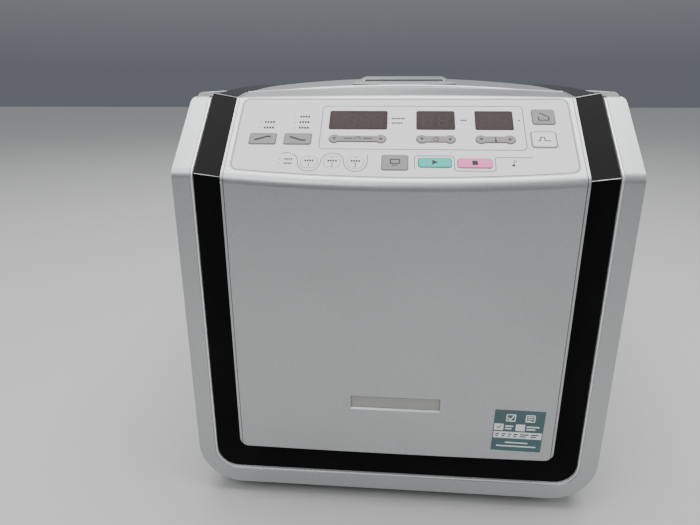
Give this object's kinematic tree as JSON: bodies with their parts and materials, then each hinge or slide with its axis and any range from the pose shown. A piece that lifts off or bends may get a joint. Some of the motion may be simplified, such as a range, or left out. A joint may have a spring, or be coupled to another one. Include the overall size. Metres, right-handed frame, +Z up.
{
  "type": "refrigerated benchtop micro centrifuge",
  "caption": "Refrigerated benchtop micro centrifuge with an opening lid, spinning tube rotor, sloping key panel and rear cooling fan.",
  "frame": {"origin": "middle of the footprint, on the bench surface under the rubber feet", "axes": "+Z up, -Y towards the user (the front with the control panel), +X to the user's right"},
  "size_m": [0.28, 0.5498, 0.293],
  "materials": {
    "silver_plastic": "metallic silver lacquer, satin",
    "silver_paint": "metallic silver paint, satin",
    "side_paint": "light grey powder coat",
    "bright_trim": "bright silver",
    "gloss_black": "high gloss",
    "overlay_sheet": "light grey film",
    "smoked_window": "smoked, glossy",
    "key_grey": "mid grey film",
    "key_light": "light grey film",
    "key_green": "turquoise green film",
    "key_red": "pinkish red film",
    "circuit_board": "green laminate",
    "plate_grey": "satin",
    "deck_plastic": "light grey, fine grain",
    "stainless": "drawn and polished",
    "zinc_steel": "zinc plated",
    "black_rubber": "matt",
    "foam": "closed-cell foam",
    "copper": "drawn copper tube",
    "black_plastic": "fine grain",
    "black_steel": "black enamel",
    "rotor_aluminium": "anodised",
    "fin_aluminium": "mill finish",
    "liner_plastic": "light grey, fine grain",
    "clear_window": "clear",
    "guard_wire": "black coating"
  },
  "bodies": {
    "cabinet": {"base_tray": "zinc_steel", "rubber_feet": "black_rubber", "side_panel_left": "side_paint", "side_panel_right": "side_paint", "front_frame": "silver_plastic", "bezel_trim": "bright_trim", "front_band": "gloss_black", "top_bands": "gloss_black", "column_frame": "silver_plastic", "front_cover": "silver_plastic", "control_overlay": "overlay_sheet", "display_windows": "smoked_window", "control_board": "circuit_board", "name_plate": "plate_grey", "top_deck": "deck_plastic", "chamber_bowl": "stainless", "chamber_seals": "black_rubber", "bowl_insulation": "foam", "evaporator_coil": "copper", "motor_housing": "black_steel", "rubber_mounts": "black_rubber", "bulkhead": "zinc_steel", "compressor": "black_steel", "condenser": "fin_aluminium", "refrigerant_lines": "copper", "fan_frame": "black_plastic", "drive_board": "circuit_board", "rear_panel": "side_paint", "rear_cover": "silver_paint", "fan_guard": "guard_wire", "mains_inlet": "black_plastic", "hinge_brackets": "zinc_steel", "lock_solenoid": "zinc_steel", "rear_screws": "zinc_steel"},
    "lid": {"lid_shell": "silver_paint", "lid_grip": "silver_paint", "lid_side_trims": "gloss_black", "lid_liner": "liner_plastic", "lid_window": "clear_window", "lid_striker": "zinc_steel", "lid_hinge_arms": "zinc_steel"},
    "rotor": {"drive_shaft": "stainless", "tube_rotor": "rotor_aluminium"},
    "rotor_cover": {"rotor_lid": "black_plastic"},
    "fan": {"fan_impeller": "black_plastic"},
    "mains_rocker": {"power_rocker": "black_plastic"},
    "lock": {"lock_bolt": "zinc_steel"},
    "accel_key": {"key_accel": "key_grey"},
    "decel_key": {"key_decel": "key_grey"},
    "speed_key": {"key_speed": "key_grey"},
    "time_key": {"key_time": "key_grey"},
    "temperature_key": {"key_temperature": "key_grey"},
    "open_key": {"key_open": "key_grey"},
    "pulse_key": {"key_pulse": "key_light"},
    "program_1_key": {"key_program_1": "key_light"},
    "program_2_key": {"key_program_2": "key_light"},
    "program_3_key": {"key_program_3": "key_light"},
    "display_key": {"key_display": "key_grey"},
    "start_key": {"key_start": "key_green"},
    "stop_key": {"key_stop": "key_red"}
  },
  "joints": [
    {"name": "lid_hinge", "type": "hinge", "parent": "cabinet", "child": "lid", "pos_m": [0, 0.052, 0.27], "axis": [-1, 0, 0], "range_deg": [0, 80]},
    {"name": "rotor_spin", "type": "hinge", "parent": "cabinet", "child": "rotor", "pos_m": [0, -0.07, 0.12], "axis": [0, 0, 1], "continuous": true},
    {"name": "rotor_cover_turn", "type": "hinge", "parent": "rotor", "child": "rotor_cover", "pos_m": [0, -0.07, 0.24], "axis": [0, 0, 1], "range_deg": [0, 90]},
    {"name": "fan_spin", "type": "hinge", "parent": "cabinet", "child": "fan", "pos_m": [-0.06, 0.255, 0.118], "axis": [0, 1, 0], "continuous": true},
    {"name": "mains_rocker_tilt", "type": "hinge", "parent": "cabinet", "child": "mains_rocker", "pos_m": [0.097, 0.267, 0.066], "axis": [1, 0, 0], "range_deg": [-14, 0]},
    {"name": "lock_bolt_slide", "type": "slide", "parent": "cabinet", "child": "lock", "axis": [0, 1, 0], "range_m": [0, 0.008], "stiffness_N_per_m": 120},
    {"name": "key_accel_press", "type": "slide", "parent": "cabinet", "child": "accel_key", "axis": [0, 0.6665, -0.7455], "range_m": [0, 0.0005], "stiffness_N_per_m": 3000},
    {"name": "key_decel_press", "type": "slide", "parent": "cabinet", "child": "decel_key", "axis": [0, 0.6665, -0.7455], "range_m": [0, 0.0005], "stiffness_N_per_m": 3000},
    {"name": "key_speed_rock", "type": "hinge", "parent": "cabinet", "child": "speed_key", "pos_m": [-0.0267, -0.24625, 0.25378], "axis": [0, 0.7455, 0.6665], "range_deg": [-1.2, 1.2], "stiffness_Nm_per_rad": 1.4},
    {"name": "key_time_rock", "type": "hinge", "parent": "cabinet", "child": "time_key", "pos_m": [0.0207, -0.24625, 0.25378], "axis": [0, 0.7455, 0.6665], "range_deg": [-1.2, 1.2], "stiffness_Nm_per_rad": 1.4},
    {"name": "key_temperature_rock", "type": "hinge", "parent": "cabinet", "child": "temperature_key", "pos_m": [0.056, -0.24625, 0.25378], "axis": [0, 0.7455, 0.6665], "range_deg": [-1.2, 1.2], "stiffness_Nm_per_rad": 1.4},
    {"name": "key_open_press", "type": "slide", "parent": "cabinet", "child": "open_key", "axis": [0, 0.6665, -0.7455], "range_m": [0, 0.0005], "stiffness_N_per_m": 3000},
    {"name": "key_pulse_press", "type": "slide", "parent": "cabinet", "child": "pulse_key", "axis": [0, 0.6665, -0.7455], "range_m": [0, 0.0005], "stiffness_N_per_m": 3000},
    {"name": "key_program_1_press", "type": "slide", "parent": "cabinet", "child": "program_1_key", "axis": [0, 0.6665, -0.7455], "range_m": [0, 0.0005], "stiffness_N_per_m": 3000},
    {"name": "key_program_2_press", "type": "slide", "parent": "cabinet", "child": "program_2_key", "axis": [0, 0.6665, -0.7455], "range_m": [0, 0.0005], "stiffness_N_per_m": 3000},
    {"name": "key_program_3_press", "type": "slide", "parent": "cabinet", "child": "program_3_key", "axis": [0, 0.6665, -0.7455], "range_m": [0, 0.0005], "stiffness_N_per_m": 3000},
    {"name": "key_display_press", "type": "slide", "parent": "cabinet", "child": "display_key", "axis": [0, 0.6665, -0.7455], "range_m": [0, 0.0005], "stiffness_N_per_m": 3000},
    {"name": "key_start_press", "type": "slide", "parent": "cabinet", "child": "start_key", "axis": [0, 0.6665, -0.7455], "range_m": [0, 0.0005], "stiffness_N_per_m": 3000},
    {"name": "key_stop_press", "type": "slide", "parent": "cabinet", "child": "stop_key", "axis": [0, 0.6665, -0.7455], "range_m": [0, 0.0005], "stiffness_N_per_m": 3000}
  ]
}
